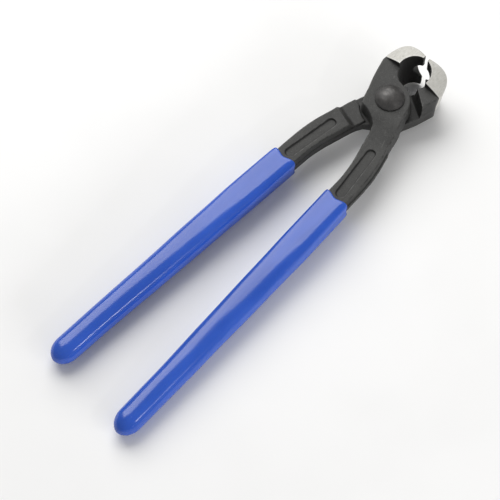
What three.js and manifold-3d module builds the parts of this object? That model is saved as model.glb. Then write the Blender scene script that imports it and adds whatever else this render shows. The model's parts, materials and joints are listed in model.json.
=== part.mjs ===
// End-cutting pincers with two dipped handle grips.
//
// Frame: millimetres, +Z is the pivot axis, +Y points from the grips to the jaws,
// the two handles lie either side of the Y axis. Everything is first laid out with
// the pivot at the origin (tool frame) and the whole group is then moved so that
// the origin is the bottom centre of the finished tool.
//
// The front lever has its jaw on -X and its handle on +X, and its half of the lap
// joint is the upper one (+Z). The rear lever is the same forging turned half a turn
// about the Y axis. The crown of both jaws is finished together after riveting, so
// its slight cone (wider at +Z than at -Z) runs the same way on both jaws.

import * as THREE from 'three';
import * as BufferGeometryUtils from 'three/addons/utils/BufferGeometryUtils.js';
import Module from 'manifold-3d';

// ---------------------------------------------------------------- dimensions

const GAP = 0.3;               // running clearance between separate pieces

// head
// The round mouth is a slight cone: [height, centre from the pivot, radius]
const MOUTH_UPPER = [14, 16.2, 7.9];
const MOUTH_LOWER = [-14, 18.5, 5.85];
const CROWN_Y = 15.2;          // the ground crown starts here
const CROWN_Z = 11.8;          // half height of the cutting edges
const CROWN_BARREL_R = 29.0;   // the crown's broad faces are barrel shaped
const CROWN_CONE = 0.0085;     // the crown's outline shrinks by this per mm going down
const CROWN_CONE_Z = 7.0;      // height at which the outline below is measured
const TIP_X = 1.15;            // each cutting land stands this far from the middle at rest
const BITE_R = 4.9;            // round notch through both cutting edges
const HEAD_Z = 7.3;            // half thickness of jaw and boss

// lap joint
const LAP_Z = GAP / 2;         // each lap face stands half the clearance off the middle plane
const BENCH_R = 13.3;          // the bench starts this far from the pivot, clear of the boss
const BENCH_END = 10.4;        // and ends this far from the top of the ramp
const BENCH_IN = 0.6;          // and stops short of the inner edge, where the handles close
const BENCH_DROP = 0.75;       // its height at the inner edge, from the middle plane
const BENCH_SLOPE = 0.03;      // and its rise towards the outer edge
const DRAFT = 0.7;             // forging draft from face edge to parting line
const PARTING = 0.6;           // width of the parting band

// shank
const SHANK_Z = 4.35;          // half thickness of the shank
const SLOT_DEPTH = 0.9;        // recess in both broad faces of the shank
const SLOT_R = 2.3;
const SLOT_HEAD = [11.8, -25.9];
const SLOT_TAIL = [15.2, -49.6];

// pivot rivet
const RIVET_R = 4.0;
const RIVET_HEAD_R = 6.7;
const RIVET_HEAD_H = 3.8;
const RIVET_RIM = 0.7;         // straight rim under the dome

// handle and grip
const COLLAR_Y = -52.3;        // the grips start here
const TANG_END_Y = -187.0;     // the steel inside the grips ends here
const FRONT_GRIP_END_Y = -197.4;
const REAR_GRIP_END_Y = -192.2;

// centre line of the handle, width and thickness of the steel inside the grip
const HANDLE_X = [[-44, 15.0], [-51, 15.45], [-56, 15.85], [-80, 17.05], [-110, 18.3], [-140, 19.55], [-165, 20.65], [-185, 21.3], [-200, 21.6]];
const TANG_W = [[-44, 9.3], [-56, 9.4], [-110, 8.8], [-187, 7.4]];
const TANG_T = [[-44, 8.2], [-56, 8.2], [-110, 7.6], [-187, 6.4]];
const GRIP_W = [[-50, 13.1], [-80, 13.9], [-110, 13.8], [-140, 13.1], [-170, 12.3], [-200, 11.9]];
const GRIP_T = [[-50, 11.4], [-110, 11.4], [-170, 10.8], [-200, 10.6]];

// outline of one lever seen along the pivot axis, at the edge of its broad faces
const OUTER_SHANK = [
  [0.5, 9.55], [3.4, 8.75], [6.2, 6.9], [8.5, 4.0], [9.9, 1.0], [10.4, -1.2],
  [11.7, -5.0], [13.2, -9.6], [14.4, -14.0], [15.3, -18.8], [16.7, -24.0],
  [18.2, -30.0], [19.2, -36.5], [19.75, -43.0], [20.0, -49.0], [20.05, -51.0],
];
const INNER_SHANK = [
  [10.6, -51.0], [10.35, -45.0], [9.75, -39.5], [8.6, -33.6], [7.05, -28.0],
  [5.6, -22.5], [4.2, -17.6], [2.8, -14.3],
];
const BOSS_EDGE = [[2.8, -14.3], [-0.3, -12.0], [-3.8, -10.5], [-7.2, -9.7], [-9.2, -6.9]];
const JAW_FLANK = [[-9.2, -6.9], [-10.9, -1.7], [-12.3, 1.8], [-13.4, 4.8], [-14.8, 9.6], [-15.7, 12.8], [-16.2, 15.2]];

// the crown's own outline, from its outer corner round the front to the tip
const CROWN_OUT = [[-16.2, 15.2], [-16.05, 17.2], [-15.5, 19.5], [-14.4, 22.2], [-12.6, 24.5], [-10.4, 25.75], [-8.0, 26.15], [-5.0, 26.1], [-TIP_X, 25.5]];

// ---------------------------------------------------------------- helpers

const wasm = await Module();
wasm.setup();

function toSolid(geometry) {
  let g = geometry.index ? geometry.clone() : geometry.clone();
  g.deleteAttribute('normal');
  g.deleteAttribute('uv');
  g = BufferGeometryUtils.mergeVertices(g, 1e-4);
  return new wasm.Manifold(new wasm.Mesh({
    numProp: 3,
    vertProperties: new Float32Array(g.attributes.position.array),
    triVerts: new Uint32Array(g.index.array),
  }));
}

function toGeometry(solid) {
  const m = solid.getMesh();
  const g = new THREE.BufferGeometry();
  g.setAttribute('position', new THREE.BufferAttribute(new Float32Array(m.vertProperties), 3));
  g.setIndex(new THREE.BufferAttribute(new Uint32Array(m.triVerts), 1));
  g.computeVertexNormals();
  return g;
}

function lerpTable(table, y) {
  if (y >= table[0][0]) return table[0][1];
  for (let i = 1; i < table.length; i++) {
    const [y1, v1] = table[i];
    const [y0, v0] = table[i - 1];
    if (y >= y1) return v0 + (v1 - v0) * (y - y0) / (y1 - y0);
  }
  return table[table.length - 1][1];
}

function smooth(points, perSpan = 2) {
  const curve = new THREE.SplineCurve(points.map((p) => new THREE.Vector2(p[0], p[1])));
  return curve.getPoints((points.length - 1) * perSpan);
}

function shapeOf(points) {
  const list = [];
  for (const p of points) {
    const v = p.isVector2 ? p : new THREE.Vector2(p[0], p[1]);
    if (!list.length || list[list.length - 1].distanceTo(v) > 1e-3) list.push(v);
  }
  if (list[0].distanceTo(list[list.length - 1]) < 1e-3) list.pop();
  return new THREE.Shape(list);
}

// prism along Z between two heights
function prism(points, z0, z1) {
  const g = new THREE.ExtrudeGeometry(shapeOf(points), { depth: z1 - z0, bevelEnabled: false, steps: 1 });
  g.translate(0, 0, z0);
  return toSolid(g);
}

// prism along X: the profile is given as [y, z]
function prismX(points, x0, x1) {
  const g = new THREE.ExtrudeGeometry(shapeOf(points), { depth: x1 - x0, bevelEnabled: false, steps: 1 });
  // local x -> Y, local y -> Z, local z -> X
  g.applyMatrix4(new THREE.Matrix4().set(0, 0, 1, x0, 1, 0, 0, 0, 0, 1, 0, 0, 0, 0, 0, 1));
  return toSolid(g);
}

// prism along Y: the profile is given as [x, z]
function prismY(points, y0, y1) {
  const g = new THREE.ExtrudeGeometry(shapeOf(points), { depth: y1 - y0, bevelEnabled: false, steps: 1 });
  // local x -> X, local y -> Z, local z -> -Y, so the depth runs from y1 down to y0
  g.applyMatrix4(new THREE.Matrix4().set(1, 0, 0, 0, 0, 0, -1, y1, 0, 1, 0, 0, 0, 0, 0, 1));
  return toSolid(g);
}

// prism along Z whose outline changes evenly from one height to the next; every
// level has the same number of points. The prism's own side vertices are moved.
function loftZ(levels) {
  const count = levels[0].points.length;
  const base = levels[0].points.map((p) => new THREE.Vector2(p[0], p[1]));
  const g = new THREE.ExtrudeGeometry(new THREE.Shape(base), { depth: 1, steps: levels.length - 1, bevelEnabled: false });
  const pos = g.attributes.position;
  for (let i = 0; i < pos.count; i++) {
    const level = Math.round(pos.getZ(i) * (levels.length - 1));
    let best = 0, bd = Infinity;
    for (let k = 0; k < count; k++) {
      const d = Math.hypot(base[k].x - pos.getX(i), base[k].y - pos.getY(i));
      if (d < bd) { bd = d; best = k; }
    }
    const q = levels[level].points[best];
    pos.setXYZ(i, q[0], q[1], levels[level].z);
  }
  return toSolid(g);
}

function cylinderZ(r, x, y, z0, z1, segments = 48) {
  const g = new THREE.CylinderGeometry(r, r, z1 - z0, segments, 1);
  g.rotateX(Math.PI / 2);
  g.translate(x, y, (z0 + z1) / 2);
  return toSolid(g);
}

function cylinderY(r, x, z, y0, y1, segments = 40) {
  const g = new THREE.CylinderGeometry(r, r, y1 - y0, segments, 1);
  g.translate(x, (y0 + y1) / 2, z);
  return toSolid(g);
}

// rounded bar that follows the handle's centre line from y0 down to y1.
// width(y), thickness(y), squareness(y): 2 is an ellipse, larger is boxier.
function bar(y0, y1, steps, width, thickness, squareness, segments = 28, ys = null) {
  const circle = [];
  for (let i = 0; i < segments; i++) {
    const a = (i + 0.5) / segments * Math.PI * 2;
    circle.push(new THREE.Vector2(Math.cos(a), Math.sin(a)));
  }
  const g = new THREE.ExtrudeGeometry(new THREE.Shape(circle), { depth: 1, steps, bevelEnabled: false });
  const pos = g.attributes.position;
  for (let i = 0; i < pos.count; i++) {
    const k = Math.round(pos.getZ(i) * steps);
    const y = ys ? ys[k] : y0 + (y1 - y0) * k / steps;
    const c = pos.getX(i), s = pos.getY(i);
    const n = squareness(y);
    const q = Math.pow(Math.pow(Math.abs(c), n) + Math.pow(Math.abs(s), n), -1 / n);
    pos.setXYZ(i, lerpTable(HANDLE_X, y) + c * q * width(y) / 2, y, s * q * thickness(y) / 2);
  }
  // the sections run towards -Y, so x -> X, y -> Z, z -> -Y keeps the faces outward
  return toSolid(g);
}

// ---------------------------------------------------------------- one lever

function buildLever(up) {
  // up is +1 for the front lever and -1 for the rear one, which is turned over, so
  // that the crown's and the mouth's cone both point the same way in the tool
  // plan outline, counter-clockwise: boss and outer shank edge downwards on +X, back
  // up the inner edge, round the boss, up the jaw flank, across under the crown
  const outline = [
    ...smooth(OUTER_SHANK).reverse(),
    [-1.0, 11.0], [-9.0, 16.5], [-16.3, 16.5],
    ...smooth(JAW_FLANK).reverse(),
    ...smooth(BOSS_EDGE).reverse(),
    ...smooth(INNER_SHANK).reverse(),
  ];
  const draftThickness = HEAD_Z + 0.4 - PARTING / 2;
  const forging = new THREE.ExtrudeGeometry(shapeOf(outline), {
    depth: PARTING, steps: 1, bevelEnabled: true, bevelThickness: draftThickness,
    bevelSize: DRAFT, bevelOffset: 0, bevelSegments: 1,
  });
  forging.translate(0, 0, -PARTING / 2);
  let lever = toSolid(forging);

  // broad faces: full thickness at jaw and boss, thinner at the shank
  const upper = [[40, HEAD_Z], [-7.2, HEAD_Z], [-9.6, 7.0], [-12.0, 6.45], [-15.0, 5.6], [-18.0, 4.9], [-21.0, 4.5], [-24.0, SHANK_Z], [-60, SHANK_Z]];
  const profile = [...upper, ...upper.map(([y, z]) => [y, -z]).reverse()];
  lever = lever.intersect(prismX(profile, -60, 60));

  // nothing of the body reaches past the crown's start line
  lever = lever.subtract(prism([[-60, CROWN_Y], [60, CROWN_Y], [60, 60], [-60, 60]], -20, 20));

  // crown: plan outline cut from a barrel-faced bar
  const barrel = [];
  const n = 22;
  const xMax = 17.2;
  const zOf = (x) => CROWN_Z - (CROWN_BARREL_R - Math.sqrt(CROWN_BARREL_R ** 2 - x ** 2));
  for (let i = 0; i <= n; i++) { const x = -xMax + (xMax + 0.4) * i / n; barrel.push([x, zOf(x)]); }
  for (let i = n; i >= 0; i--) { const x = -xMax + (xMax + 0.4) * i / n; barrel.push([x, -zOf(x)]); }
  const crownPlan = [...smooth(CROWN_OUT, 3), [-TIP_X, CROWN_Y - 0.2], [-16.2, CROWN_Y - 0.2]];
  const coneY = 18.0;
  const coned = (points, z) => {
    const k = 1 + CROWN_CONE * (z * up - CROWN_CONE_Z);
    return points.map((p) => {
      const x = p.isVector2 ? p.x : p[0], y = p.isVector2 ? p.y : p[1];
      return [Math.abs(x) > TIP_X + 0.01 ? x * k : x, y > CROWN_Y + 0.01 ? coneY + (y - coneY) * k : y];
    });
  };
  const crownList = shapeOf(crownPlan).getPoints();
  let crown = loftZ([{ z: -14, points: coned(crownList, -14) }, { z: 14, points: coned(crownList, 14) }])
    .intersect(prismY(barrel, CROWN_Y - 0.2, 40));
  // below the start line only the body's own thickness remains
  crown = crown.subtract(prism([[-60, 0], [60, 0], [60, CROWN_Y], [-60, CROWN_Y]], -20, 20));
  // the jaw's outer corner just below the crown follows the same cone
  const cornerUpper = [[-16.75, 10.5], [-16.6, 13.2], [-16.35, CROWN_Y + 0.3], [-30, CROWN_Y + 0.3], [-30, 10.5]];
  const cornerLower = [[-16.0, 10.5], [-15.55, 13.2], [-13.9, CROWN_Y + 0.3], [-30, CROWN_Y + 0.3], [-30, 10.5]];
  const corner = loftZ(up > 0
    ? [{ z: -14, points: cornerLower }, { z: 14, points: cornerUpper }]
    : [{ z: -14, points: cornerUpper }, { z: 14, points: cornerLower }]);
  lever = lever.subtract(corner);
  lever = lever.add(crown);

  // handle steel that runs on inside the grip
  const tang = bar(-44, TANG_END_Y, 14, (y) => lerpTable(TANG_W, y), (y) => lerpTable(TANG_T, y), () => 5, 20);
  lever = lever.add(tang);

  // round mouth and the round notch through the cutting edge
  const ring = ([, cy, r]) => {
    const list = [];
    for (let i = 0; i < 64; i++) {
      const a = (i + 0.5) / 64 * Math.PI * 2;
      list.push([Math.cos(a) * r, cy + Math.sin(a) * r]);
    }
    return list;
  };
  const low = up > 0 ? MOUTH_LOWER : MOUTH_UPPER;
  const high = up > 0 ? MOUTH_UPPER : MOUTH_LOWER;
  lever = lever.subtract(loftZ([{ z: -14, points: ring(low) }, { z: 14, points: ring(high) }]));
  lever = lever.subtract(cylinderY(BITE_R, 0, 0, 17, 40));
  // nothing of this jaw crosses the middle plane in front of the mouth
  lever = lever.subtract(prism([[-TIP_X, 15.6], [30, 15.6], [30, 60], [-TIP_X, 60]], -30, 30));

  // lap joint: the lower half of the boss makes room for the other lever. The wall
  // across the jaw is drafted and runs out at its foot, the shank end is a ramp.
  const lapLevel = (z, a, d, r) => {
    // a, d: how far the wall stands in from its rim at the mouth end and at the flank
    // r: how far the ramp's line has moved towards the pivot
    const n = [0.588, -0.809];
    return {
      z,
      points: [
        [24, 14.2], [4.0, 14.2], [-3.4 + n[0] * a, 14.1 + n[1] * a], [-14.9 + n[0] * d, 5.75 + n[1] * d],
        [-23, -0.1], [-23, -24.0 + 1.2 * r], [2.6 - 0.27 * r, -21.85 + 0.96 * r],
        [4.3 - 0.27 * r, -21.3 + 0.96 * r], [13.6 - 0.27 * r, -18.55 + 0.96 * r], [24 - 0.27 * r, -15.5 + 0.96 * r],
      ],
    };
  };
  // outside the other lever's round boss the room is shallower: a bench stands there,
  // rising a little towards the outer edge of the shank
  const benchAt = (along, across) => [
    4.3 - 0.2836 * along + 0.959 * across, -21.3 + 0.959 * along + 0.2836 * across,
  ];
  const tilt = new THREE.Vector3(BENCH_SLOPE * 0.959, BENCH_SLOPE * 0.2836, 1);
  const bench = prism([benchAt(-3, BENCH_IN), benchAt(-3, 22), benchAt(BENCH_END, 22), benchAt(BENCH_END, BENCH_IN)], -11, LAP_Z + 0.5)
    .subtract(cylinderZ(BENCH_R, 0, 0, -30, 30, 64))
    .trimByPlane(tilt.clone().normalize().toArray(), (-BENCH_DROP + BENCH_SLOPE * (0.959 * 4.3 - 0.2836 * 21.3)) / tilt.length());
  const room = loftZ([
    lapLevel(-12, -0.3, -0.3, -5.4), lapLevel(-3.2, 0.45, 0.35, 0.85), lapLevel(LAP_Z, 2.7, 1.25, 3.2),
  ]).subtract(bench);
  lever = lever.subtract(room);

  // recesses in both broad faces of the shank
  const ax = SLOT_TAIL[0] - SLOT_HEAD[0], ay = SLOT_TAIL[1] - SLOT_HEAD[1];
  const along = Math.atan2(ay, ax);
  const slotPoints = [];
  for (let i = 0; i <= 12; i++) {
    const a = along - Math.PI / 2 + Math.PI * i / 12;
    slotPoints.push([SLOT_TAIL[0] + Math.cos(a) * SLOT_R, SLOT_TAIL[1] + Math.sin(a) * SLOT_R]);
  }
  for (let i = 0; i <= 12; i++) {
    const a = along + Math.PI / 2 + Math.PI * i / 12;
    slotPoints.push([SLOT_HEAD[0] + Math.cos(a) * SLOT_R, SLOT_HEAD[1] + Math.sin(a) * SLOT_R]);
  }
  lever = lever.subtract(prism(slotPoints, SHANK_Z - SLOT_DEPTH, 12));
  lever = lever.subtract(prism(slotPoints, -12, -SHANK_Z + SLOT_DEPTH));

  // bore for the rivet
  lever = lever.subtract(cylinderZ(RIVET_R + GAP, 0, 0, -30, 30, 48));
  return lever;
}

// ---------------------------------------------------------------- grip

function buildGrip(endY) {
  // sections bunch up at the lip and at the rounded end
  const ys = [COLLAR_Y, COLLAR_Y - 0.5, COLLAR_Y - 1.3];
  const rounding = 7.4;
  for (let y = COLLAR_Y - 6; y > endY + rounding + 4; y -= 9) ys.push(y);
  const end = 9;
  for (let i = 0; i <= end; i++) ys.push(endY + rounding * (1 - Math.sin(i / end * Math.PI / 2)));
  const shrink = (y) => {
    if (y > COLLAR_Y - 1.4) return 1 - 0.085 * Math.pow((y - (COLLAR_Y - 1.4)) / 1.4, 2);
    const t = (endY + rounding - y) / rounding;
    return t <= 0 ? 1 : Math.max(0.16, Math.pow(Math.max(0, 1 - Math.pow(t, 2.3)), 1 / 2.3));
  };
  const square = (y) => 2.6 + 1.6 * Math.max(0, Math.min(1, (y + 130) / 78));
  const outer = bar(0, 0, ys.length - 1,
    (y) => lerpTable(GRIP_W, y) * shrink(y), (y) => lerpTable(GRIP_T, y) * shrink(y), square, 28, ys);
  const pocket = bar(COLLAR_Y + 3, TANG_END_Y - GAP, 14,
    (y) => lerpTable(TANG_W, y) + 2 * GAP + (y > COLLAR_Y - 3 ? 0.5 : 0),
    (y) => lerpTable(TANG_T, y) + 2 * GAP + (y > COLLAR_Y - 3 ? 0.5 : 0), () => 5, 20);
  return outer.subtract(pocket);
}

// ---------------------------------------------------------------- rivet

function buildRivet() {
  const base = HEAD_Z + GAP;
  const profile = [new THREE.Vector2(0, -base - RIVET_HEAD_H)];
  const dome = 6;
  const cap = RIVET_HEAD_H - RIVET_RIM;
  const R = (RIVET_HEAD_R ** 2 + cap ** 2) / (2 * cap);
  const half = Math.asin(RIVET_HEAD_R / R);
  for (let i = 1; i <= dome; i++) {
    const a = half * i / dome;
    profile.push(new THREE.Vector2(R * Math.sin(a), -base - RIVET_HEAD_H + R * (1 - Math.cos(a))));
  }
  profile.push(new THREE.Vector2(RIVET_HEAD_R, -base));
  profile.push(new THREE.Vector2(RIVET_R, -base));
  profile.push(new THREE.Vector2(RIVET_R, base));
  profile.push(new THREE.Vector2(RIVET_HEAD_R, base));
  for (let i = dome; i >= 1; i--) {
    const a = half * i / dome;
    profile.push(new THREE.Vector2(R * Math.sin(a), base + RIVET_HEAD_H - R * (1 - Math.cos(a))));
  }
  profile.push(new THREE.Vector2(0, base + RIVET_HEAD_H));
  const g = new THREE.LatheGeometry(profile, 32);
  g.rotateX(Math.PI / 2);
  return toSolid(g);
}

// ---------------------------------------------------------------- assembly

const forgedSteel = () => new THREE.MeshStandardMaterial({ color: 0x3a3a39, roughness: 0.6, metalness: 0.7 });
const rivetSteel = () => new THREE.MeshStandardMaterial({ color: 0x343434, roughness: 0.45, metalness: 0.7 });
const bluePvc = () => new THREE.MeshStandardMaterial({ color: 0x2c53c0, roughness: 0.25, metalness: 0.0 });

function mesh(name, solid, material) {
  const m = new THREE.Mesh(toGeometry(solid), material);
  m.name = name;
  return m;
}

const frontLever = buildLever(1);
const rearLever = buildLever(-1);

// front half: lever, the rivet set in it, its grip
const frontHalf = new THREE.Group();
frontHalf.add(mesh('front_lever', frontLever, forgedSteel()));
frontHalf.add(mesh('pivot_rivet', buildRivet(), rivetSteel()));
frontHalf.add(mesh('front_grip', buildGrip(FRONT_GRIP_END_Y), bluePvc()));

// rear half: the same forging turned half a turn about Y, and its grip
const rearHalf = new THREE.Group();
rearHalf.rotation.y = Math.PI;
rearHalf.add(mesh('rear_lever', rearLever, forgedSteel()));
rearHalf.add(mesh('rear_grip', buildGrip(REAR_GRIP_END_Y), bluePvc()));

const tool = new THREE.Group();
tool.add(frontHalf, rearHalf);

// origin at the bottom centre of the tool lying flat
tool.updateMatrixWorld(true);
const box = new THREE.Box3().setFromObject(tool, true);
tool.position.set(-(box.min.x + box.max.x) / 2, -(box.min.y + box.max.y) / 2, -box.min.z);
tool.updateMatrixWorld(true);

export default tool;
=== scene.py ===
import json
import math

import bpy
import numpy as np
from mathutils import Matrix, Vector


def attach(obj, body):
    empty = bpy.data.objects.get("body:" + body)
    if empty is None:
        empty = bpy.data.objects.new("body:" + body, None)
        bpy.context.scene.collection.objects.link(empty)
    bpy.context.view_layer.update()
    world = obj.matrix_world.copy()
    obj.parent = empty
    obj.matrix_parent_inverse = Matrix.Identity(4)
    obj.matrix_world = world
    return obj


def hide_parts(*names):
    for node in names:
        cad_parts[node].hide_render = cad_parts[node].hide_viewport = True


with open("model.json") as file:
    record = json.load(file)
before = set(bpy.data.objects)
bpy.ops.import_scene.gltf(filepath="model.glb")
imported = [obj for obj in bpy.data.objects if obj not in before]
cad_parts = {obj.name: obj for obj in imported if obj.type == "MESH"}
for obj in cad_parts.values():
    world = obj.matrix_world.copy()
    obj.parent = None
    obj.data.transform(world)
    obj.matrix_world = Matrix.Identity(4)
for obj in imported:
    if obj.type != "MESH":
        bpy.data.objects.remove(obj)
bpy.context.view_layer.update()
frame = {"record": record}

MM = 0.001
# the pivot in the row frame, in mm; everything below is laid out from it
PIVOT = np.array(frame["record"]["behaviour"]["joints"][0]["pos_m"], float) * 1000.0

# ------------------------------------------------------------------ dimensions, mm
LAP_Z = 0.15
CROWN_Y, CROWN_Z, BARREL_R = 15.2, 11.8, 29.0
CROWN_CONE, CONE_Z, CONE_Y = 0.0085, 7.0, 18.0
TIP_X, BITE_R = 1.15, 4.9
MOUTH_UP, MOUTH_LOW = (14.0, 16.2, 7.9), (-14.0, 18.5, 5.85)
DRAFT, SHANK_Z = 0.7, 4.35
SLOT_R, SLOT_DEPTH = 2.3, 0.9
SLOT_HEAD, SLOT_TAIL = np.array([11.8, -25.9]), np.array([15.2, -49.6])
RIVET_R, RIVET_HEAD_R, RIVET_HEAD_H, RIVET_BASE = 4.0, 6.7, 3.8, 7.6
COLLAR_Y = -52.3
BENCH_R, BENCH_END, BENCH_IN, BENCH_DROP, BENCH_SLOPE = 13.3, 10.4, 0.6, 0.75, 0.03
TANG_END_Y = -187.0
FRONT_GRIP_END_Y, REAR_GRIP_END_Y = -197.4, -192.2

HANDLE_X = [(-44, 15.0), (-51, 15.45), (-56, 15.85), (-80, 17.05), (-110, 18.3), (-140, 19.55), (-165, 20.65), (-185, 21.3), (-200, 21.6)]
TANG_W = [(-44, 9.3), (-56, 9.4), (-110, 8.8), (-187, 7.4)]
TANG_T = [(-44, 8.2), (-56, 8.2), (-110, 7.6), (-187, 6.4)]
GRIP_W = [(-50, 13.1), (-80, 13.9), (-110, 13.8), (-140, 13.1), (-170, 12.3), (-200, 11.9)]
GRIP_T = [(-50, 11.4), (-110, 11.4), (-170, 10.8), (-200, 10.6)]

OUTER_SHANK = [
    (0.5, 9.55), (3.4, 8.75), (6.2, 6.9), (8.5, 4.0), (9.9, 1.0), (10.4, -1.2),
    (11.7, -5.0), (13.2, -9.6), (14.4, -14.0), (15.3, -18.8), (16.7, -24.0),
    (18.2, -30.0), (19.2, -36.5), (19.75, -43.0), (20.0, -49.0), (20.1, -53.5), (20.2, -59.0),
]
INNER_SHANK = [
    (11.3, -59.0), (10.75, -53.5), (10.35, -45.0), (9.75, -39.5), (8.6, -33.6), (7.05, -28.0),
    (5.6, -22.5), (4.2, -17.6), (2.8, -14.3),
]
BOSS_EDGE = [(2.8, -14.3), (-0.3, -12.0), (-3.8, -10.5), (-7.2, -9.7), (-9.2, -6.9)]
JAW_FLANK = [(-9.2, -6.9), (-10.9, -1.7), (-12.3, 1.8), (-13.4, 4.8), (-14.8, 9.6), (-15.7, 12.8), (-16.2, 15.2)]
CROWN_OUT = [(-16.2, 15.2), (-16.05, 17.2), (-15.5, 19.5), (-14.4, 22.2), (-12.6, 24.5), (-10.4, 25.75), (-8.0, 26.15), (-5.0, 26.1), (-TIP_X, 25.5)]


# ------------------------------------------------------------------ small maths
def table(points, y):
    p = sorted(points)
    return np.interp(y, [a for a, _ in p], [b for _, b in p])


def catmull(points, per=6):
    p = np.array(points, float)
    out = []
    n = len(p)
    for i in range(n - 1):
        p0, p1, p2, p3 = p[max(i - 1, 0)], p[i], p[i + 1], p[min(i + 2, n - 1)]
        v0, v1 = (p2 - p0) / 2, (p3 - p1) / 2
        for k in range(per):
            t = k / per
            out.append((2 * p1 - 2 * p2 + v0 + v1) * t ** 3 + (-3 * p1 + 3 * p2 - 2 * v0 - v1) * t ** 2 + v0 * t + p1)
    out.append(p[-1])
    return [tuple(q) for q in out]


def step(x, a, b):
    t = np.clip((x - a) / (b - a), 0.0, 1.0)
    return t * t * (3 - 2 * t)


def rmax(a, b, r):
    """The part common to a and b, its edge rounded to r."""
    return np.minimum(np.maximum(a, b), -r) + np.hypot(np.maximum(a + r, 0), np.maximum(b + r, 0))


def rmin(a, b, r):
    """a and b joined, with a fillet r."""
    return np.maximum(np.minimum(a, b), r) - np.hypot(np.maximum(r - a, 0), np.maximum(r - b, 0))


class Plan:
    """Distance to a closed outline, kept as a table: negative inside."""

    def __init__(self, outline, h=0.12, pad=7.0):
        p = np.array(outline, float)
        lo, hi = p.min(0) - pad, p.max(0) + pad
        self.lo, self.h = lo, h
        xs = np.arange(lo[0], hi[0] + h, h)
        ys = np.arange(lo[1], hi[1] + h, h)
        gx, gy = np.meshgrid(xs, ys, indexing="ij")
        gx, gy = gx.astype(np.float32), gy.astype(np.float32)
        best = np.full(gx.shape, 1e9, np.float32)
        inside = np.zeros(gx.shape, bool)
        for (ax, ay), (bx, by) in zip(p, np.roll(p, -1, 0)):
            ex, ey = bx - ax, by - ay
            length = ex * ex + ey * ey
            if length < 1e-12:
                continue
            wx, wy = gx - ax, gy - ay
            t = np.clip((wx * ex + wy * ey) / length, 0, 1)
            best = np.minimum(best, (wx - ex * t) ** 2 + (wy - ey * t) ** 2)
            if ey != 0:
                crosses = ((ay <= gy) & (gy < by)) | ((by <= gy) & (gy < ay))
                inside ^= crosses & (gx < ax + (gy - ay) * (ex / ey))
        self.t = np.where(inside, -1, 1).astype(np.float32) * np.sqrt(best)

    def __call__(self, x, y):
        u = np.clip((x - self.lo[0]) / self.h, 0, self.t.shape[0] - 1.001)
        v = np.clip((y - self.lo[1]) / self.h, 0, self.t.shape[1] - 1.001)
        i, j = u.astype(np.int32), v.astype(np.int32)
        fu, fv = u - i, v - j
        t = self.t
        return (t[i, j] * (1 - fu) + t[i + 1, j] * fu) * (1 - fv) + (t[i, j + 1] * (1 - fu) + t[i + 1, j + 1] * fu) * fv


BODY = Plan(
    catmull(OUTER_SHANK)[::-1] + [(-1.0, 11.0), (-9.0, 18.5), (-16.3, 18.5)]
    + catmull(JAW_FLANK)[::-1] + catmull(BOSS_EDGE)[::-1] + catmull(INNER_SHANK)[::-1]
)
CROWN = Plan(catmull(CROWN_OUT) + [(6.0, 25.3), (6.0, 8.0), (-16.2, 8.0)])

# half thickness of the body along Y, smoothed so that the face has no creases
_hy = np.arange(-60.0, 40.0, 0.1)
_hz = np.interp(_hy, [-60, -24, -21, -18, -15, -12, -9.6, -7.2, 40], [4.35, 4.35, 4.5, 4.9, 5.6, 6.45, 7.0, 7.3, 7.3])
_k = np.exp(-0.5 * (np.arange(-40, 41) * 0.1 / 1.1) ** 2)
_hs = np.convolve(np.pad(_hz, 40, mode="edge"), _k / _k.sum(), mode="valid")


def unevenness(x, y, z, seed, size):
    """Slow hammer-like waviness of a forged skin, between about -1 and 1."""
    rng = np.random.RandomState(seed)
    total = 0.0
    for _ in range(5):
        d = rng.normal(size=3)
        d *= 2 * math.pi / size * rng.uniform(0.7, 1.5) / np.linalg.norm(d)
        total = total + np.sin(x * d[0] + y * d[1] + z * d[2] + rng.uniform(0, 6.28))
    return total / 2.6


def mouth(x, y, z, up):
    t = (z * up - MOUTH_LOW[0]) / (MOUTH_UP[0] - MOUTH_LOW[0])
    cy = MOUTH_LOW[1] + (MOUTH_UP[1] - MOUTH_LOW[1]) * t
    r = MOUTH_LOW[2] + (MOUTH_UP[2] - MOUTH_LOW[2]) * t
    return np.hypot(x, y - cy) - r


def barrel(x, z):
    return np.hypot(x, np.abs(z) + BARREL_R - CROWN_Z) - BARREL_R


def crown_plan(x, y, z, up):
    k = 1 + CROWN_CONE * (z * up - CONE_Z)
    return CROWN(x / k, CONE_Y + (y - CONE_Y) / k) * k


def slot_dist(x, y):
    d = SLOT_TAIL - SLOT_HEAD
    t = np.clip(((x - SLOT_HEAD[0]) * d[0] + (y - SLOT_HEAD[1]) * d[1]) / (d @ d), 0, 1)
    return np.hypot(x - SLOT_HEAD[0] - t * d[0], y - SLOT_HEAD[1] - t * d[1]) - SLOT_R


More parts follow.
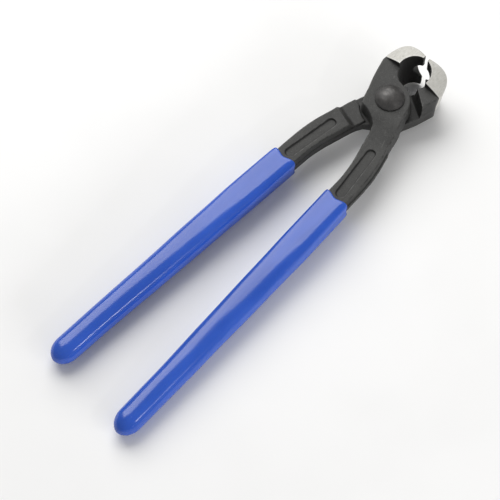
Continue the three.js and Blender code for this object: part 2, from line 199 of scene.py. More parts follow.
def lap_cut(x, y, z):
    """The half taken away where the other lever crosses: its wall, its flat and the ramp out of it."""
    sx, sy = x + 3.4, y - 14.1
    s = 0.588 * sx - 0.809 * sy
    u = np.clip((sx * -11.5 + sy * -8.35) / (11.5 ** 2 + 8.35 ** 2), 0, 1)
    t = np.clip((z + 3.2) / 3.35, 0, 1) ** 2
    t2 = np.clip((z + 12) / 8.8, 0, 1)
    at_mouth = np.where(z > -3.2, 0.45 + 2.25 * t, -0.3 + 0.75 * t2)
    at_flank = np.where(z > -3.2, 0.35 + 0.9 * t, -0.3 + 0.65 * t2)
    wall = s - (at_mouth + (at_flank - at_mouth) * u)
    along = -0.2836 * (x - 4.3) + 0.959 * (y + 21.3)
    across = 0.959 * (x - 4.3) + 0.2836 * (y + 21.3)
    ramp = (along - (3.2 + 0.705 * (z - 0.15))) * 0.817
    # outside the other lever's boss the room is shallower, over a sloping bench
    bench = rmax(-(z + BENCH_DROP + BENCH_SLOPE * across), np.maximum(np.maximum(BENCH_R - np.hypot(x, y), along - BENCH_END), BENCH_IN - across), 0.55)
    cut = rmax(rmax(z - LAP_Z, -bench, 0.3), -ramp, 0.7)
    cut = rmax(cut, -wall, 0.3)
    return np.where(y > -26, cut, 5.0)


def lever(x, y, z, up):
    """Distance to one lever, in its own frame: jaw on -X, handle on +X, lap half on +Z."""
    az = np.abs(z)
    plan = BODY(x, y)
    # forging draft, and the trimmed flash that stands a little proud along the parting line
    side = plan - DRAFT * np.clip(1 - (az - 0.3) / 7.4, 0, 1)
    outer_side = step(BODY(x + 1.5, y) - plan, 0.4, 1.0)
    flash = (0.22 + 0.40 * outer_side) * (1 - step(az, 0.9, 1.35)) * step(-y, 18.6, 20.0)
    side = side - flash
    face = (az - np.interp(y, _hy, _hs)) * 0.97
    d = rmax(side, face, 0.55)
    d = d + 0.035 * unevenness(x, y, z, 3 + int(up), 9.0) + 0.014 * unevenness(x, y, z, 13 + int(up), 3.1)
    # the jaw's outer corner falls away towards -Z
    t = np.clip((z * up + 14) / 28, 0, 1)
    xmin = (1 - t) * np.interp(y, [8, 10.5, 13.2, 15.5], [-17.3, -16.0, -15.55, -13.9]) + t * np.interp(y, [8, 10.5, 13.2, 15.5], [-17.6, -16.75, -16.6, -16.35])
    corner = np.where(y > 8, (xmin - x) * 0.97, -5.0)
    d = rmax(d, corner, 0.4)
    d = np.maximum(d, np.where(y > 0, y - CROWN_Y - 0.6, -5.0))

    # ground crown
    cp = crown_plan(x, y, z, up)
    c = rmax(cp, barrel(x, z), 0.7)
    wall = CROWN_Y - y
    c = rmax(c, wall, 0.12)
    # its outer corner falls away too
    xcrown = np.interp(y, [15.2, 17.5, 20.0, 22.5], [-14.2, -14.3, -15.2, -21.0])
    c = np.where(y < 22.5, rmax(c, ((1 - t) * xcrown + t * -18.5 - x) * 0.93, 0.6), c)
    foot = 0.85 * step(-plan, 0.6, 2.4)
    d = np.where(y > 12, rmin(d, c, np.maximum(foot, 1e-3)), d)
    d = np.where(y > CROWN_Y, np.maximum(d, np.where(az > 1e-9, np.maximum(cp, barrel(x, z)), d)), d)

    # steel inside the grip
    cx, w, h = table(HANDLE_X, y), table(TANG_W, y), table(TANG_T, y)
    qx, qz = np.abs(x - cx) - w / 2 + 1.6, az - h / 2 + 1.6
    tang = np.hypot(np.maximum(qx, 0), np.maximum(qz, 0)) + np.minimum(np.maximum(qx, qz), 0) - 1.6
    tang = np.maximum(tang, np.maximum(y + 50, TANG_END_Y + 0.3 - y))
    d = np.minimum(d, tang)

    # round mouth, its edge soft on the forging and keen on the crown
    m = mouth(x, y, z, up)
    soft = 0.32 * (1 - step(y, 14.3, 15.0))
    d = rmax(d, -m, np.maximum(soft, 0.14))
    bite = np.maximum(np.hypot(x, z) - BITE_R, 17.0 - y)
    d = rmax(d, -bite, 0.14)
    d = np.where(y > 15.4, rmax(d, x + TIP_X, 0.14), d)

    # lap joint
    d = rmax(d, -lap_cut(x, y, z), 0.28)

    # recesses in both broad faces of the shank
    sd = slot_dist(x, y)
    floor = SHANK_Z - SLOT_DEPTH
    slot = rmax(sd + (SHANK_Z - az) * 0.16, floor - az + 0.03 * unevenness(x, y, z, 31, 4.0), 0.45)
    d = rmax(d, -slot, 0.28)

    # bore
    d = np.maximum(d, 4.3 - np.hypot(x, y))
    return d


# ------------------------------------------------------------------ meshing
def net(fn, xs, ys, zs):
    """A closed quad mesh round fn < 0 on a grid, each point at the mean of the places where its cell's edges cross fn =
    0.
    """
    F = np.empty((len(xs), len(ys), len(zs)), np.float32)
    X, Z = xs[:, None, None], zs[None, None, :]
    for j0 in range(0, len(ys), 48):
        Y = ys[None, j0:j0 + 48, None]
        x, y, z = np.broadcast_arrays(X, Y, Z)
        F[:, j0:j0 + 48, :] = fn(x, y, z)
    S = F < 0
    c = S.astype(np.uint8)
    tot = np.zeros(tuple(n - 1 for n in F.shape), np.uint8)
    for a in (0, 1):
        for b in (0, 1):
            for e in (0, 1):
                tot += c[a:F.shape[0] - 1 + a, b:F.shape[1] - 1 + b, e:F.shape[2] - 1 + e]
    active = (tot > 0) & (tot < 8)
    idx = np.full(tot.shape, -1, np.int64)
    I, J, K = np.nonzero(active)
    idx[I, J, K] = np.arange(len(I))
    P = np.zeros((len(I), 3))
    n = np.zeros(len(I))
    corners = [(a, b, e) for a in (0, 1) for b in (0, 1) for e in (0, 1)]
    for p in corners:
        for ax in range(3):
            if p[ax] == 1:
                continue
            q = list(p); q[ax] = 1
            fa = F[I + p[0], J + p[1], K + p[2]]
            fb = F[I + q[0], J + q[1], K + q[2]]
            m = (fa < 0) != (fb < 0)
            t = fa[m] / (fa[m] - fb[m])
            pt = np.tile(np.array(p, float), (m.sum(), 1))
            pt[:, ax] += t
            P[m] += pt
            n[m] += 1
    P /= n[:, None]
    P += np.stack([I, J, K], 1)
    V = np.stack([np.interp(P[:, 0], np.arange(len(xs)), xs), np.interp(P[:, 1], np.arange(len(ys)), ys), np.interp(P[:, 2], np.arange(len(zs)), zs)], 1)
    quads = []
    for ax in range(3):
        o1, o2 = (ax + 1) % 3, (ax + 2) % 3
        lo = [slice(None)] * 3; hi = [slice(None)] * 3
        lo[ax], hi[ax] = slice(0, -1), slice(1, None)
        for o in (o1, o2):
            lo[o] = slice(1, -1); hi[o] = slice(1, -1)
        s0, s1 = S[tuple(lo)], S[tuple(hi)]
        E = np.nonzero(s0 != s1)
        inside_first = s0[E]
        base = [E[0].copy(), E[1].copy(), E[2].copy()]
        base[o1] = base[o1] + 1
        base[o2] = base[o2] + 1

        def cell(d1, d2):
            k = [b.copy() for b in base]
            k[o1] = k[o1] + d1
            k[o2] = k[o2] + d2
            return idx[k[0], k[1], k[2]]
        q = np.stack([cell(-1, -1), cell(0, -1), cell(0, 0), cell(-1, 0)], 1)
        q[~inside_first] = q[~inside_first][:, ::-1]
        quads.append(q)
    Q = np.concatenate(quads)
    return V, Q


def gradient(fn, V, h=0.03):
    g = np.empty_like(V)
    for a in range(3):
        o = np.zeros(3); o[a] = h
        p, m = V + o, V - o
        g[:, a] = (fn(p[:, 0], p[:, 1], p[:, 2]) - fn(m[:, 0], m[:, 1], m[:, 2])) / (2 * h)
    return g


def settle(fn, V, Q, rounds=3, limit=0.2):
    """Evens the quads out along the surface and puts every point on it."""
    n = len(V)
    for r in range(rounds):
        if r < rounds - 1:
            acc = np.zeros_like(V); cnt = np.zeros(n)
            for a, b in ((0, 1), (1, 2), (2, 3), (3, 0)):
                np.add.at(acc, Q[:, a], V[Q[:, b]]); np.add.at(cnt, Q[:, a], 1)
                np.add.at(acc, Q[:, b], V[Q[:, a]]); np.add.at(cnt, Q[:, b], 1)
            move = acc / cnt[:, None] - V
            g = gradient(fn, V)
            g /= np.maximum(np.linalg.norm(g, axis=1), 1e-6)[:, None]
            move -= g * np.sum(move * g, 1)[:, None]
            V = V + 0.5 * move
        f = fn(V[:, 0], V[:, 1], V[:, 2])
        g = gradient(fn, V)
        stepv = -f[:, None] * g / np.maximum(np.sum(g * g, 1), 0.25)[:, None]
        size = np.linalg.norm(stepv, axis=1)
        V = V + stepv * np.minimum(1, limit / np.maximum(size, 1e-9))[:, None]
    return V


def curvature(V, N, Q, passes=2):
    """Positive on outside edges and negative in inside corners, in 1/mm, evened out a little."""
    n = len(V)
    k = np.zeros(n); w = np.zeros(n)
    for a, b in ((0, 1), (1, 2), (2, 3), (3, 0)):
        e = V[Q[:, b]] - V[Q[:, a]]
        L = np.maximum(np.sum(e * e, 1), 1e-6)
        c = np.sum((N[Q[:, b]] - N[Q[:, a]]) * e, 1) / L
        for i in (a, b):
            np.add.at(k, Q[:, i], c); np.add.at(w, Q[:, i], 1)
    k /= np.maximum(w, 1)
    for _ in range(passes):
        s = np.zeros(n); w = np.zeros(n)
        for a, b in ((0, 1), (1, 2), (2, 3), (3, 0)):
            np.add.at(s, Q[:, a], k[Q[:, b]]); np.add.at(w, Q[:, a], 1)
            np.add.at(s, Q[:, b], k[Q[:, a]]); np.add.at(w, Q[:, b], 1)
        k = 0.5 * k + 0.5 * s / np.maximum(w, 1)
    return k


def new_mesh(name, V, faces, normals=None, attributes=None):
    """V in the tool frame, mm. The object is in the row frame, in metres."""
    me = bpy.data.meshes.new(name)
    W = (V + PIVOT) * MM
    me.from_pydata(W.tolist(), [], [list(map(int, f)) for f in faces])
    me.update()
    for key, values in (attributes or {}).items():
        a = me.attributes.new(key, "FLOAT", "POINT")
        a.data.foreach_set("value", np.asarray(values, np.float32))
    me.polygons.foreach_set("use_smooth", [True] * len(me.polygons))
    if normals is not None:
        nn = normals / np.maximum(np.linalg.norm(normals, axis=1), 1e-9)[:, None]
        me.normals_split_custom_set_from_vertices(nn.tolist())
    ob = bpy.data.objects.new(name, me)
    bpy.context.scene.collection.objects.link(ob)
    return ob


def flip(V):
    """Half a turn about Y: the rear lever's place from its own frame."""
    return V * np.array([-1.0, 1.0, -1.0])


# ------------------------------------------------------------------ materials
class Nodes:
    def __init__(self, name):
        self.mat = bpy.data.materials.new(name)
        self.mat.use_nodes = True
        self.nt = self.mat.node_tree
        self.bsdf = self.nt.nodes["Principled BSDF"]

    def new(self, kind, **values):
        n = self.nt.nodes.new(kind)
        for k, v in values.items():
            if hasattr(n, k):
                setattr(n, k, v)
            else:
                n.inputs[k.replace("_", " ")].default_value = v
        return n

    def link(self, a, b):
        self.nt.links.new(a, b)

    def coords(self, scale=(1, 1, 1), rotation=(0, 0, 0)):
        """Object coordinates in millimetres."""
        c = self.new("ShaderNodeTexCoord")
        m = self.new("ShaderNodeMapping")
        m.inputs["Scale"].default_value = tuple(1000.0 * s for s in scale)
        m.inputs["Rotation"].default_value = rotation
        self.link(c.outputs["Object"], m.inputs["Vector"])
        return m.outputs["Vector"]

    def noise(self, vec, scale, detail=3.0, rough=0.6, distortion=0.0):
        n = self.new("ShaderNodeTexNoise")
        n.inputs["Scale"].default_value = scale
        n.inputs["Detail"].default_value = detail
        n.inputs["Roughness"].default_value = rough
        n.inputs["Distortion"].default_value = distortion
        self.link(vec, n.inputs["Vector"])
        return n.outputs["Fac"]

    def ramp(self, value, lo, hi, out_lo=0.0, out_hi=1.0):
        n = self.new("ShaderNodeMapRange")
        n.interpolation_type = "SMOOTHSTEP"
        n.inputs["From Min"].default_value = lo
        n.inputs["From Max"].default_value = hi
        n.inputs["To Min"].default_value = out_lo
        n.inputs["To Max"].default_value = out_hi
        self.link(value, n.inputs["Value"])
        return n.outputs["Result"]

    def math(self, op, a, b=None):
        n = self.new("ShaderNodeMath")
        n.operation = op
        for i, v in enumerate((a, b)):
            if v is None:
                continue
            if isinstance(v, (int, float)):
                n.inputs[i].default_value = v
            else:
                self.link(v, n.inputs[i])
        return n.outputs[0]

    def mix(self, fac, a, b):
        n = self.new("ShaderNodeMix")
        n.data_type = "RGBA"
        if isinstance(fac, (int, float)):
            n.inputs[0].default_value = fac
        else:
            self.link(fac, n.inputs[0])
        for i, v in ((6, a), (7, b)):
            if isinstance(v, tuple):
                n.inputs[i].default_value = (*v, 1.0) if len(v) == 3 else v
            else:
                self.link(v, n.inputs[i])
        return n.outputs[2]

    def mixf(self, fac, a, b):
        n = self.new("ShaderNodeMix")
        n.data_type = "FLOAT"
        for i, v in ((0, fac), (2, a), (3, b)):
            if isinstance(v, (int, float)):
                n.inputs[i].default_value = v
            else:
                self.link(v, n.inputs[i])
        return n.outputs[0]

    def attribute(self, name):
        n = self.new("ShaderNodeAttribute")
        n.attribute_name = name
        return n.outputs["Fac"]

    def bump(self, height, distance, strength=1.0, normal=None):
        n = self.new("ShaderNodeBump")
        n.inputs["Distance"].default_value = distance * MM
        n.inputs["Strength"].default_value = strength
        self.link(height, n.inputs["Height"])
        if normal is not None:
            self.link(normal, n.inputs["Normal"])
        return n.outputs["Normal"]


def forged_material():
    """Black oxide over a fine forged skin, and on the crown bare ground steel."""
    m = Nodes("forged_steel")
    v = m.coords()
    fine = m.noise(v, 2.6, 3.0, 0.65)
    grit = m.noise(v, 7.0, 2.0, 0.6)
    blotch = m.noise(v, 0.16, 3.0, 0.55)
    soft = m.noise(v, 0.55, 2.0, 0.5)
    edge = m.attribute("edge")
    ground = m.attribute("ground")
    rim = m.attribute("rim")
    scratch = m.attribute("scratch")
    recess_shade = m.attribute("recess_shade")

    tone = m.math("ADD", m.ramp(fine, 0.3, 0.7, -0.012, 0.014), m.ramp(blotch, 0.3, 0.7, -0.007, 0.008))
    tone = m.math("ADD", tone, m.ramp(grit, 0.56, 0.74, 0.0, 0.02))
    tone = m.math("ADD", tone, 0.032)
    # painted shade: the tone is darkened on the walls of the mouth, of the lap and of the crown's step
    tone = m.math("MULTIPLY", tone, m.ramp(recess_shade, 0.0, 1.0, 1.0, 0.45))
    black = m.new("ShaderNodeCombineColor")
    m.link(tone, black.inputs[0]); m.link(tone, black.inputs[1])
    m.link(m.math("MULTIPLY", tone, 0.965), black.inputs[2])
    # convex edges lighter and more metallic: part rubbed wear, part painted edge highlight
    wear_and_sheen = m.math("MULTIPLY", m.ramp(edge, 0.25, 1.1), m.ramp(soft, 0.38, 0.66, 0.15, 1.0))
    colour = m.mix(m.math("MULTIPLY", wear_and_sheen, 0.5), black.outputs[0], (0.17, 0.17, 0.165))
    fleck = m.noise(v, 1.5, 2.0, 0.7)
    colour = m.mix(m.math("MULTIPLY", m.ramp(fleck, 0.60, 0.72), 0.45), colour, (0.12, 0.12, 0.118))
    # darker, towards near black, in the inside corners
    hollow = m.ramp(edge, -0.9, -0.15, 0.55, 0.0)
    colour = m.mix(hollow, colour, (0.012, 0.012, 0.012))
    colour = m.mix(m.math("MULTIPLY", scratch, m.ramp(fine, 0.35, 0.6, 0.25, 0.7)), colour, (0.13, 0.13, 0.125))

    # bare steel: grinding grain, faint stain towards the shoulders, a few dark pits
    g = m.coords(scale=(1.0, 0.16, 1.0), rotation=(0, 0, math.radians(18)))
    grain = m.noise(g, 3.4, 2.0, 0.6)
    speck = m.noise(v, 1.25, 1.0, 0.5)
    steel = m.mix(m.ramp(grain, 0.3, 0.7), (0.44, 0.435, 0.405), (0.55, 0.54, 0.51))
    steel = m.mix(m.ramp(soft, 0.45, 0.75, 0.0, 0.25), steel, (0.36, 0.34, 0.29))
    steel = m.mix(m.ramp(speck, 0.735, 0.775, 0.0, 0.75), steel, (0.10, 0.09, 0.08))
    # painted highlight: the crown's back edge, and the mouth's edge on the side that faces up, are lightened towards
    # white
    steel = m.mix(m.math("MULTIPLY", rim, 0.35), steel, (0.84, 0.84, 0.83))
    m.link(m.mix(ground, colour, steel), m.bsdf.inputs["Base Color"])
    m.link(m.mixf(ground, m.mixf(wear_and_sheen, 0.25, 0.6), 0.22), m.bsdf.inputs["Metallic"])
    rough = m.math("ADD", m.ramp(fine, 0.3, 0.7, 0.50, 0.64), m.ramp(blotch, 0.3, 0.7, -0.03, 0.03))
    rough = m.mixf(wear_and_sheen, rough, 0.42)
    steel_rough = m.mixf(rim, m.ramp(grain, 0.3, 0.7, 0.66, 0.54), 0.35)
    m.link(m.mixf(ground, rough, steel_rough), m.bsdf.inputs["Roughness"])
    m.bsdf.inputs["Specular IOR Level"].default_value = 0.46
    height = m.math("ADD", m.math("MULTIPLY", fine, 0.6), m.math("MULTIPLY", grit, 0.4))
    n1 = m.bump(m.mixf(ground, height, m.math("MULTIPLY", grain, 0.22)), 0.07, 0.8)
    n2 = m.bump(m.mixf(ground, soft, 0.5), 0.10, 0.5, n1)
    m.link(n2, m.bsdf.inputs["Normal"])
    return m.mat


def rivet_material():
    """Black oxide, smoother and rubbed on the dome, with small hammer marks."""
    m = Nodes("rivet_steel")
    v = m.coords()
    fine = m.noise(v, 3.2, 3.0, 0.6)
    blotch = m.noise(v, 0.3, 3.0, 0.55)
    mark = m.noise(v, 0.9, 2.0, 0.5)
    rub = m.attribute("rub")
    tone = m.math("ADD", m.ramp(fine, 0.3, 0.7, -0.008, 0.01), m.ramp(blotch, 0.3, 0.7, -0.008, 0.01))
    tone = m.math("ADD", tone, 0.05)
    c = m.new("ShaderNodeCombineColor")
    m.link(tone, c.inputs[0])
    m.link(m.math("MULTIPLY", tone, 0.96), c.inputs[1]); m.link(m.math("MULTIPLY", tone, 0.94), c.inputs[2])
    wear_and_sheen = m.math("MULTIPLY", rub, m.ramp(mark, 0.40, 0.68))
    colour = m.mix(m.math("MULTIPLY", wear_and_sheen, 0.40), c.outputs[0], (0.12, 0.115, 0.11))
    m.link(colour, m.bsdf.inputs["Base Color"])
    m.link(m.mixf(wear_and_sheen, 0.30, 0.42), m.bsdf.inputs["Metallic"])
    m.link(m.mixf(wear_and_sheen, m.ramp(fine, 0.3, 0.7, 0.35, 0.44), 0.35), m.bsdf.inputs["Roughness"])
    n1 = m.bump(fine, 0.035, 0.6)
    n2 = m.bump(mark, 0.16, 0.5, n1)
    m.link(n2, m.bsdf.inputs["Normal"])
    return m.mat


def vinyl_material():
    """Glossy dipped vinyl: even blue, slightly wavy skin, faint dust and rubbing."""
    m = Nodes("blue_vinyl")
    v = m.coords()
    slow = m.noise(m.coords(scale=(1, 0.25, 1)), 0.14, 2.0, 0.5)
    fine = m.noise(v, 4.5, 3.0, 0.6)
    dust = m.noise(v, 1.6, 2.0, 0.5)
    blue = m.mix(m.ramp(slow, 0.3, 0.7), (0.016, 0.073, 0.412), (0.023, 0.088, 0.468))
    blue = m.mix(m.ramp(fine, 0.5, 0.8, 0.0, 0.08), blue, (0.10, 0.18, 0.62))
    blue = m.mix(m.ramp(dust, 0.70, 0.78, 0.0, 0.18), blue, (0.30, 0.36, 0.62))
    m.link(blue, m.bsdf.inputs["Base Color"])
    m.link(m.ramp(fine, 0.3, 0.75, 0.15, 0.21), m.bsdf.inputs["Roughness"])
    m.bsdf.inputs["Subsurface Weight"].default_value = 0.12
    m.bsdf.inputs["Subsurface Radius"].default_value = (0.3, 0.6, 1.6)
    m.bsdf.inputs["Subsurface Scale"].default_value = 0.001
    m.bsdf.inputs["IOR"].default_value = 1.52
    n1 = m.bump(slow, 0.35, 0.3)
    n2 = m.bump(fine, 0.008, 0.35, n1)
    m.link(n2, m.bsdf.inputs["Normal"])
    return m.mat


FORGED, RIVET, VINYL = forged_material(), rivet_material(), vinyl_material()


# ------------------------------------------------------------------ levers
H = 0.28
GX = np.arange(-18.4, 26.8, H)
GY = np.concatenate([np.arange(-188.6, -62.0, 3.2), np.arange(-60.2, 27.6, H)])
GZ = np.arange(-12.64, 12.7, H)

SCRATCHES = [  # in the front lever's face: start, end, half width
    ((12.1, -16.9), (13.3, -20.7), 0.13), ((9.4, -13.3), (10.0, -14.6), 0.10),
    ((-6.2, 10.2), (-5.6, 9.2), 0.16), ((3.1, -17.2), (4.0, -18.0), 0.10),
]


def make_lever(name, up, body):
    fn = lambda x, y, z: lever(x, y, z, up)
    V, Q = net(fn, GX, GY, GZ)
    V = settle(fn, V, Q)
    N = gradient(fn, V, 0.05)
    N /= np.maximum(np.linalg.norm(N, axis=1), 1e-6)[:, None]
    edge = curvature(V, N, Q)
    x, y, z = V.T
    m = mouth(x, y, z, up)
    cp = crown_plan(x, y, z, up)
    outer = step(m, 0.04, 0.2) * step(-TIP_X - x, 0.03, 0.2)
    bite = np.hypot(x, z) - BITE_R
    outer = outer * step(bite, 0.03, 0.2)
    # painted shade: faces turned towards -Y are kept out of the ground steel, so the crown's step wall stays dark
    ground = step(y, CROWN_Y + 0.03, CROWN_Y + 0.22) * outer * step(N[:, 1], -0.55, -0.25)
    # painted highlight: a band along the crown's back edge and, on the side that faces up, along the mouth's edge
    rim = ground * np.maximum(1 - step(y, CROWN_Y + 0.25, CROWN_Y + 0.6), (1 - step(m, 0.2, 0.5)) * step(z * 1.0, 3.0, 4.0) if up > 0 else (1 - step(m, 0.2, 0.5)) * step(-z, 3.0, 4.0))
    scratch = np.zeros(len(V))
    if up > 0:
        for (ax, ay), (bx, by), w in SCRATCHES:
            e = np.array([bx - ax, by - ay])
            t = np.clip(((x - ax) * e[0] + (y - ay) * e[1]) / (e @ e), 0, 1)
            dist = np.hypot(x - ax - t * e[0], y - ay - t * e[1])
            scratch = np.maximum(scratch, np.exp(-(dist / w) ** 2) * (z > 3))
    # painted shade: the walls of the mouth and of the lap, and the crown's step wall, are darkened where shade falls in
    # them
    recess_shade = np.maximum(1 - step(m, 0.1, 0.45), (1 - step(np.abs(lap_cut(x, y, z)), 0.1, 0.5)) * step(y, -9.0, -5.0))
    recess_shade = np.maximum(recess_shade, (1 - step(np.abs(y - CROWN_Y), 0.15, 0.5)) * step(np.abs(z), 5.0, 6.0)) * (1 - ground)
    if up < 0:
        V, N = flip(V), flip(N)
    ob = new_mesh(name, V, Q, N, {"edge": np.clip(edge, -3, 3), "ground": ground, "rim": rim, "scratch": scratch, "recess_shade": recess_shade})
    ob.data.materials.append(FORGED)
    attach(ob, body)
    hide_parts(name.replace("_forging", ""))
    return ob


make_lever("front_lever_forging", 1, "front_half")
make_lever("rear_lever_forging", -1, "rear_half")


# ------------------------------------------------------------------ rivet
def make_rivet():
    base, rim = RIVET_BASE - 0.3, 0.7
    cap = RIVET_HEAD_H + 0.3 - rim
    R = (RIVET_HEAD_R ** 2 + cap ** 2) / (2 * cap)
    half = math.asin(RIVET_HEAD_R / R)
    prof = []
    top = RIVET_BASE + RIVET_HEAD_H
    for i in range(0, 26):
        a = half * i / 25
        prof.append((R * math.sin(a), top - R * (1 - math.cos(a))))
    r0 = 0.35
    zc = prof[-1][1]
    prof = prof[:-1] + [(RIVET_HEAD_R - 0.10, zc + 0.05), (RIVET_HEAD_R, zc - 0.12), (RIVET_HEAD_R - 0.02, base + 0.42),
                        (RIVET_HEAD_R - 0.16, base + 0.12), (RIVET_HEAD_R - 0.45, base + 0.02), (RIVET_R + 1.0, base + 0.02),
                        (RIVET_R + 0.05, base + 0.02), (RIVET_R, base - 0.2)]
    prof = prof + [(r, -z) for r, z in prof[::-1]]
    seg = 112
    V, faces = [], []
    V.append((0.0, 0.0, prof[0][1]))
    rings = prof[1:-1]
    for r, z in rings:
        for s in range(seg):
            a = 2 * math.pi * s / seg
            V.append((r * math.cos(a), r * math.sin(a), z))
    V.append((0.0, 0.0, prof[-1][1]))
    last = len(V) - 1
    for s in range(seg):
        faces.append((0, 1 + s, 1 + (s + 1) % seg))
    for k in range(len(rings) - 1):
        for s in range(seg):
            a = 1 + k * seg
            b = a + seg
            faces.append((a + s, b + s, b + (s + 1) % seg, a + (s + 1) % seg))
    a = 1 + (len(rings) - 1) * seg
    for s in range(seg):
        faces.append((a + s, last, a + (s + 1) % seg))
    V = np.array(V)
    r = np.hypot(V[:, 0], V[:, 1])
    # hand-set head: a little out of round, with shallow hammer flats
    n = unevenness(V[:, 0], V[:, 1], V[:, 2], 71, 7.0) * 0.05 + unevenness(V[:, 0], V[:, 1], V[:, 2], 72, 2.6) * 0.022
    dome = step(np.abs(V[:, 2]), base + 0.5, base + 1.4)
    rng = np.random.RandomState(5)
    for _ in range(7):
        a, d = rng.uniform(0, 6.28), rng.uniform(1.2, 4.8)
        c = np.array([d * math.cos(a), d * math.sin(a)])
        q = np.hypot(V[:, 0] - c[0], V[:, 1] - c[1])
        n = n - rng.uniform(0.03, 0.07) * np.exp(-(q / rng.uniform(0.5, 1.1)) ** 2)
    V[:, 2] += np.sign(V[:, 2]) * (n - 0.06) * dome
    rub = step(np.abs(V[:, 2]), base + 1.6, top - 0.1)
    ob = new_mesh("rivet_head_and_pin", V, faces, None, {"rub": rub})
    ob.data.materials.append(RIVET)
    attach(ob, "front_half")
    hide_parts("pivot_rivet")


make_rivet()


# ------------------------------------------------------------------ grips
def section(n, seg, width, thick, power):
    a = (np.arange(seg) + 0.5) / seg * 2 * math.pi
    c, s = np.cos(a), np.sin(a)
    q = (np.abs(c) ** power + np.abs(s) ** power) ** (-1 / power)
    return c * q * width / 2, s * q * thick / 2


def make_grip(name, node, end_y, rear, seed):
    seg = 96
    rounding = 8.6
    ys = [COLLAR_Y - t for t in (0.55, 0.9, 1.4, 2.1, 3.2, 4.6, 6.4)]
    y = ys[-1] - 2.2
    while y > end_y + rounding + 0.8:
        ys.append(y); y -= 2.4
    for i in range(0, 26):
        ys.append(end_y + rounding * (1 - math.sin(i / 26 * math.pi / 2)))
    rings = []

    def ring(y, w, t, power, cx=None):
        u, v = section(0, seg, w, t, power)
        x0 = float(table(HANDLE_X, y)) if cx is None else cx
        return np.stack([x0 + u, np.full(seg, y), v], 1)

    def square(y):
        return float(table([(-52, 5.4), (-62, 4.9), (-93, 3.0), (-127, 2.35), (-161, 2.12), (-200, 2.05)], y))

    def shrink(y):
        # the dip gathers to a blunt point
        t = (end_y + rounding - y) / rounding
        if t <= 0:
            return 1.0
        return max(0.02, max(0.0, 1 - t ** 2.3) ** 0.58)

    pocket_w, pocket_t = 11.15, 8.95
    # inside wall, from deep in the pocket out to the lip
    for y, w, t in ((-186.0, 8.2, 7.2), (-120.0, 9.6, 8.3), (-64.0, 10.2, 8.9), (-60.0, pocket_w + 0.5, pocket_t + 0.3), (COLLAR_Y - 1.0, pocket_w, pocket_t), (COLLAR_Y - 0.35, pocket_w, pocket_t)):
        cx = 15.6 if y > -61 else None
        rings.append(ring(y, w, t, 5.0, cx))
    w0, t0 = float(table(GRIP_W, COLLAR_Y)), float(table(GRIP_T, COLLAR_Y))
    p0 = square(COLLAR_Y)
    # rolled lip
    for k in range(1, 7):
        a = math.pi / 2 * k / 6
        f = 1 - math.cos(a)
        wi, ti = pocket_w + 0.15, pocket_t + 0.15
        wo, to = w0 - 0.45, t0 - 0.45
        mid = k / 6
        rings.append(ring(COLLAR_Y - 0.35 + 0.35 * math.sin(min(1.0, mid * 2) * math.pi / 2) - 0.30 * max(0, mid - 0.5) ** 1.5,
                          wi + (wo - wi) * mid, ti + (to - ti) * mid, 5 + (p0 - 5) * mid, 15.6 + (float(table(HANDLE_X, COLLAR_Y)) - 15.6) * mid))
    for y in ys:
        g = shrink(y)
        swell = 1.0 - 0.022 * math.exp(-((y - COLLAR_Y) / 0.8) ** 2)
        rings.append(ring(y, float(table(GRIP_W, y)) * g * swell, float(table(GRIP_T, y)) * g * swell, square(y)))
    R = np.concatenate(rings)
    n = len(rings)
    x, y, z = R.T
    rng = seed
    # the dip leaves the skin a little wavy along its length
    outer = np.arange(len(R)) >= seg * 12
    wave = 0.06 * unevenness(x, y * 0.35, z, seed, 12.0)
    cx = table(HANDLE_X, y)
    rad = np.stack([x - cx, np.zeros_like(x), z], 1)
    rad /= np.maximum(np.linalg.norm(rad, axis=1), 1e-6)[:, None]
    # a low crest along the corner where the flat top turns down
    u = (x - cx) * np.sign(z) / (table(GRIP_W, y) / 2)
    crest = 0.045 * np.exp(-((u - 0.52) / 0.10) ** 2) * step(y, -178.0, -90.0) * step(COLLAR_Y - y, 0.4, 3.0)
    R = R + rad * (wave - 0.05 + crest)[:, None] * outer[:, None]
    # the dip draws back between the corners of the steel
    a = np.tile((np.arange(seg) + 0.5) / seg * 2 * math.pi, n)
    sag = np.cos(2 * a) ** 2 * (0.55 + 0.65 * np.sin(a) ** 2) * (1 - step(COLLAR_Y - y, 1.0, 13.0)) * (y > -66.5)
    R[:, 1] -= 1.1 * sag
    verts = [tuple(rings[0].mean(0))] + [tuple(p) for p in R]
    end_c = rings[-1].mean(0)
    verts.append((end_c[0], end_y + 0.02, 0.0))
    faces = []
    for s in range(seg):
        faces.append((0, 1 + (s + 1) % seg, 1 + s))
    for k in range(n - 1):
        a, b = 1 + k * seg, 1 + (k + 1) * seg
        for s in range(seg):
            t = (s + 1) % seg
            faces.append((a + s, a + t, b + t, b + s))
    a = 1 + (n - 1) * seg
    tip = len(verts) - 1
    for s in range(seg):
        faces.append((a + s, a + (s + 1) % seg, tip))
    V = np.array(verts)
    if rear:
        V = flip(V)
    ob = new_mesh(name, V, faces)
    import bmesh
    bm = bmesh.new(); bm.from_mesh(ob.data)
    bmesh.ops.recalc_face_normals(bm, faces=bm.faces)
    bm.to_mesh(ob.data); bm.free()
    ob.data.materials.append(VINYL)
    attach(ob, "rear_half" if rear else "front_half")
    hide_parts(node)
    return ob


make_grip("front_dipped_grip", "front_grip", FRONT_GRIP_END_Y, False, 101)
make_grip("rear_dipped_grip", "rear_grip", REAR_GRIP_END_Y, True, 102)


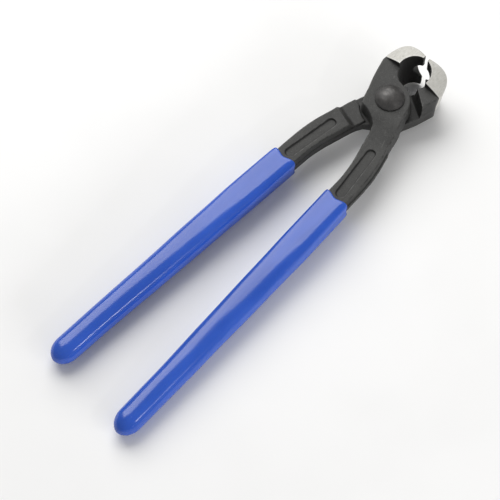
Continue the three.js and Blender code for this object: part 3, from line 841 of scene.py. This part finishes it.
# ------------------------------------------------------------------ stage, light, camera
def make_floor():
    # the tool lies on its lower rivet head and the grips' ends
    y0, z0 = PIVOT[1], PIVOT[2] - RIVET_BASE - RIVET_HEAD_H - 0.03
    y1, z1 = PIVOT[1] - 188.0, PIVOT[2] - 5.42
    slope = (z1 - z0) / (y1 - y0)
    S = 4200.0
    pts = []
    for sx, sy in ((-1, -1), (1, -1), (1, 1), (-1, 1)):
        yy = y0 + sy * S
        pts.append((sx * S * MM, yy * MM, (z0 + slope * (yy - y0)) * MM))
    me = bpy.data.meshes.new("floor")
    me.from_pydata(pts, [], [(0, 1, 2, 3)])
    ob = bpy.data.objects.new("floor", me)
    bpy.context.scene.collection.objects.link(ob)
    m = Nodes("floor_paper")
    n = m.noise(m.coords(), 0.02, 2.0, 0.5)
    m.link(m.mix(m.ramp(n, 0.3, 0.7), (0.86, 0.86, 0.86), (0.88, 0.88, 0.88)), m.bsdf.inputs["Base Color"])
    m.bsdf.inputs["Roughness"].default_value = 0.9
    m.bsdf.inputs["Specular IOR Level"].default_value = 0.1
    me.materials.append(m.mat)


make_floor()


def area(name, where, at, size, power, colour=(1, 1, 1), size_y=None):
    d = bpy.data.lights.new(name, "AREA")
    d.energy = power
    d.color = colour
    d.size = size * MM
    if size_y:
        d.shape = "RECTANGLE"
        d.size_y = size_y * MM
    o = bpy.data.objects.new(name, d)
    bpy.context.scene.collection.objects.link(o)
    p, q = (np.array(where, float) + PIVOT) * MM, (np.array(at, float) + PIVOT) * MM
    o.location = p
    o.rotation_euler = (Vector(q) - Vector(p)).to_track_quat("-Z", "Y").to_euler()
    return o


# a broad softbox on the -X side, which the grips mirror as a pale band, a low fill on the
# +X side for the flanks, and a small lamp above it that draws a thin line near the grips' ends
area("softbox", (-560, 225, 665), (0, -60, 0), 1000, 10.0, (1.0, 0.995, 0.98), 800)
fill = area("low_fill", (900, -120, 190), (0, -90, 0), 900, 6.0, (1.0, 1.0, 1.0), 220)
fill.visible_glossy = False
area("small_lamp", (554, -18, 388), (0, -180, 0), 34, 0.2, (1.0, 0.98, 0.96), 14)

world = bpy.data.worlds.new("studio")
world.use_nodes = True
bg = world.node_tree.nodes["Background"]
bg.inputs["Color"].default_value = (1, 1, 1, 1)
bg.inputs["Strength"].default_value = 0.32
bpy.context.scene.world = world

cam_data = bpy.data.cameras.new("camera")
cam_data.sensor_width = 36.0
cam_data.sensor_fit = "HORIZONTAL"
cam_data.lens = 2410.04 / 500.0 * 36.0
cam_data.clip_start, cam_data.clip_end = 0.05, 50.0
cam = bpy.data.objects.new("camera", cam_data)
bpy.context.scene.collection.objects.link(cam)
AZ, EL, DIST = math.radians(43.02), math.radians(63.02), 1088.2
right = np.array([math.cos(AZ), math.sin(AZ), 0.0])
back = np.array([math.sin(AZ) * math.cos(EL), -math.cos(AZ) * math.cos(EL), math.sin(EL)])
up = np.cross(back, right)
# the pivot is at pixel (388.876, 106.497) of the 500 x 500 frame
dx, dy = (388.876 - 250) / 2410.04 * DIST, -(106.497 - 250) / 2410.04 * DIST
pos = PIVOT - right * dx - up * dy + back * DIST
mat = Matrix(((right[0], up[0], back[0], pos[0] * MM), (right[1], up[1], back[1], pos[1] * MM), (right[2], up[2], back[2], pos[2] * MM), (0, 0, 0, 1)))
cam.matrix_world = mat
bpy.context.scene.camera = cam
bpy.context.scene.view_settings.view_transform = "Standard"
